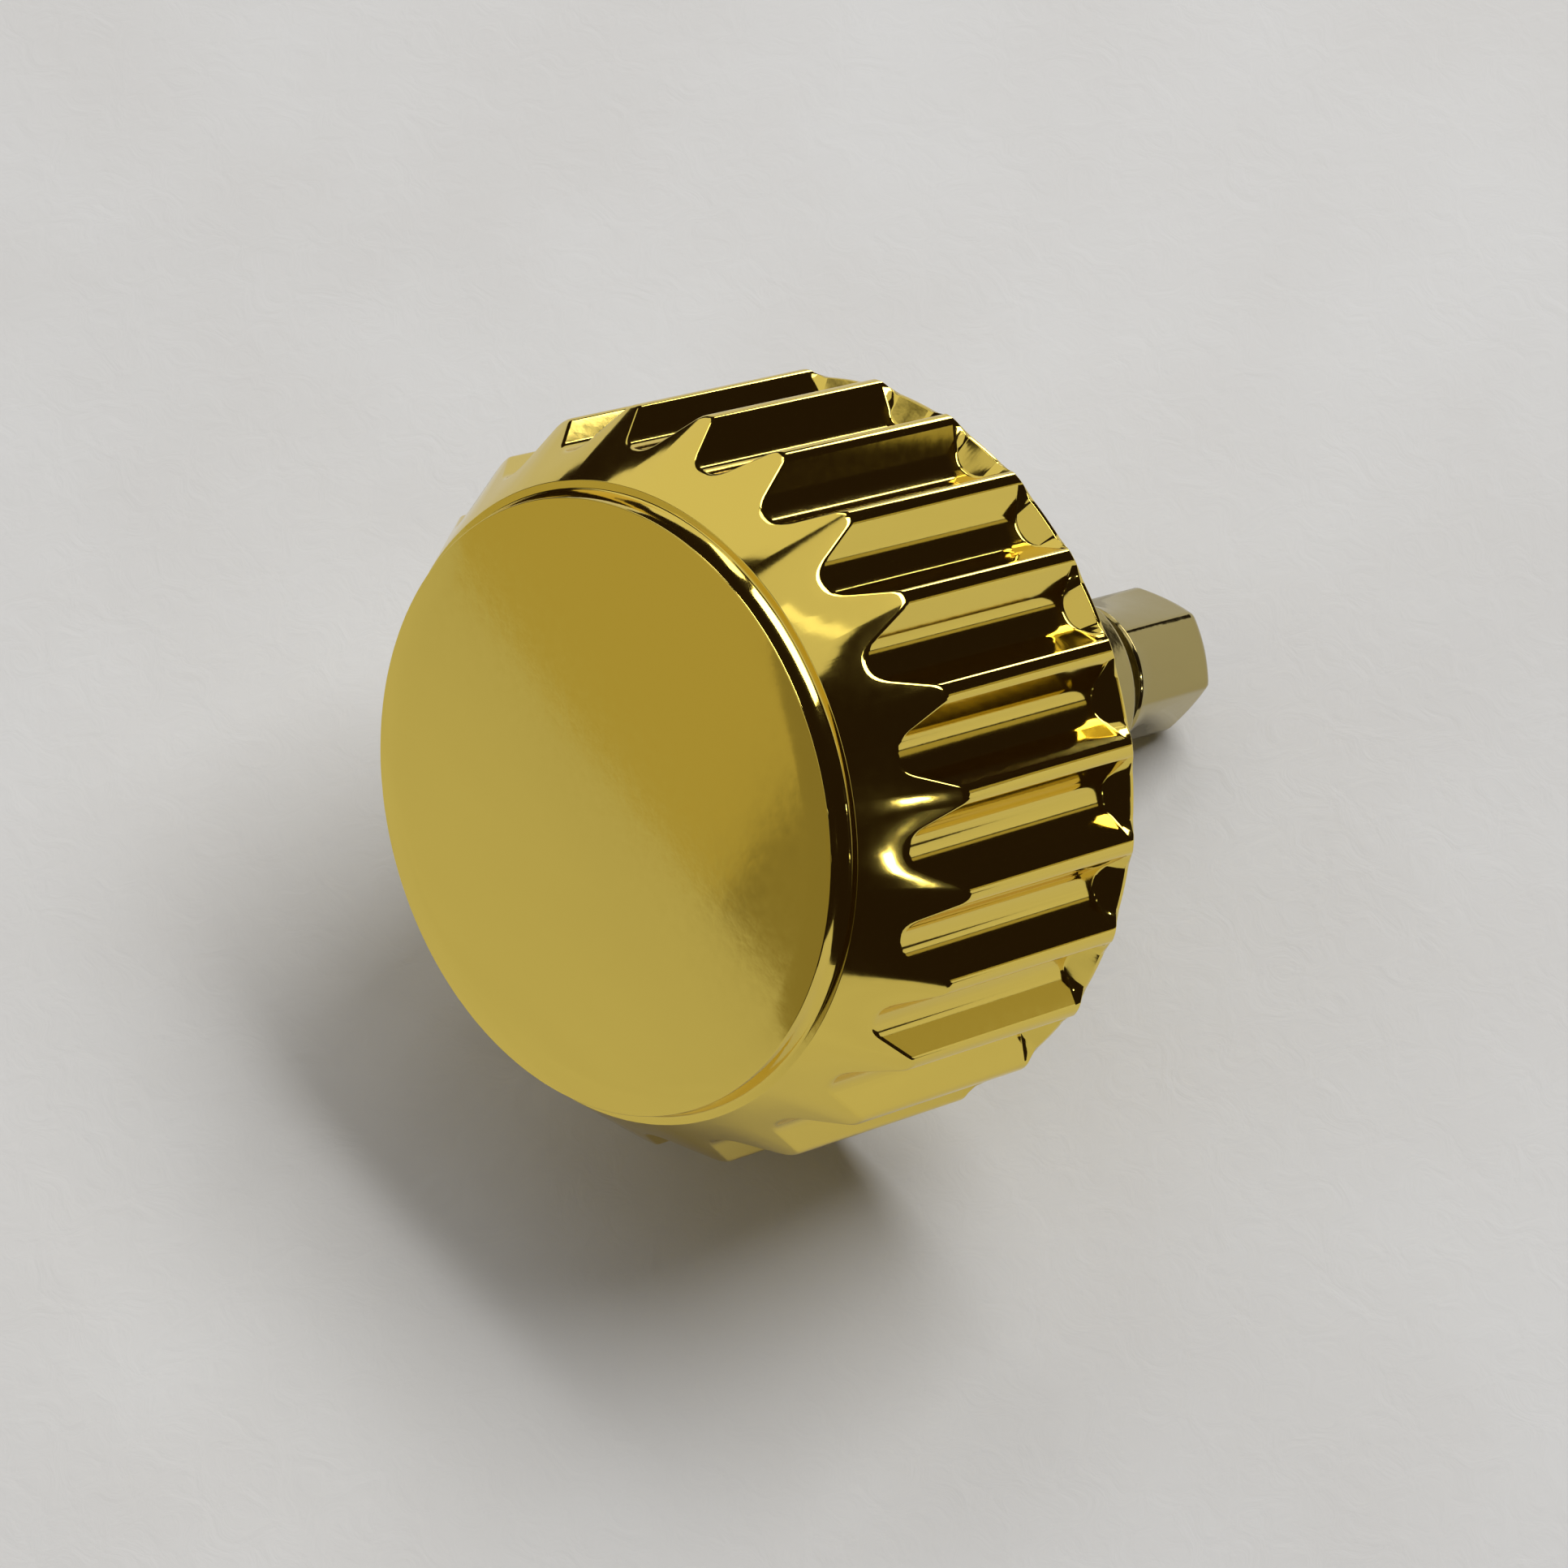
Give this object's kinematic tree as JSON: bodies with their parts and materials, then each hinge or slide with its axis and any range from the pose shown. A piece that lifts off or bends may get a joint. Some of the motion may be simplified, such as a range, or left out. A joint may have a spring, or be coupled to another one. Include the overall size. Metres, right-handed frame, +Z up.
{
  "type": "watch crown",
  "caption": "Fluted screw-down watch crown with a raised round face and a sprung hexagon post at its back.",
  "frame": {"origin": "centre of the head's rear rim, on the crown's axis", "axes": "+Z up as the crown leans on a bench, on two flutes at its rear rim and on the end of its post. +Y level, the way the post points. +X across. The crown's axis lies in the YZ plane, and falls 31.80 degrees from +Y towards -Z."},
  "size_m": [0.007, 0.0084, 0.0071],
  "materials": {
    "gold_plate": "polished gold plating",
    "pale_gold": "bright plated, lightly turned",
    "steel": "turned steel",
    "spring_steel": "drawn wire",
    "black_rubber": "matte rubber",
    "gasket_rubber": "smooth rubber"
  },
  "bodies": {
    "head": {"crown_head": "gold_plate", "thread_sleeve": "steel", "flat_gasket": "gasket_rubber", "gasket_retainer": "steel", "clutch_tube": "pale_gold", "tube_o_ring": "black_rubber", "retaining_washer": "steel", "return_spring": "spring_steel"},
    "post": {"stem_post": "pale_gold", "guide_block": "steel"}
  },
  "joints": [
    {"name": "post_slide", "type": "slide", "parent": "head", "child": "post", "axis": [0, -0.8499, 0.5269], "range_m": [0, 0.0007], "stiffness_N_per_m": 650, "deforming": ["return_spring"]}
  ]
}
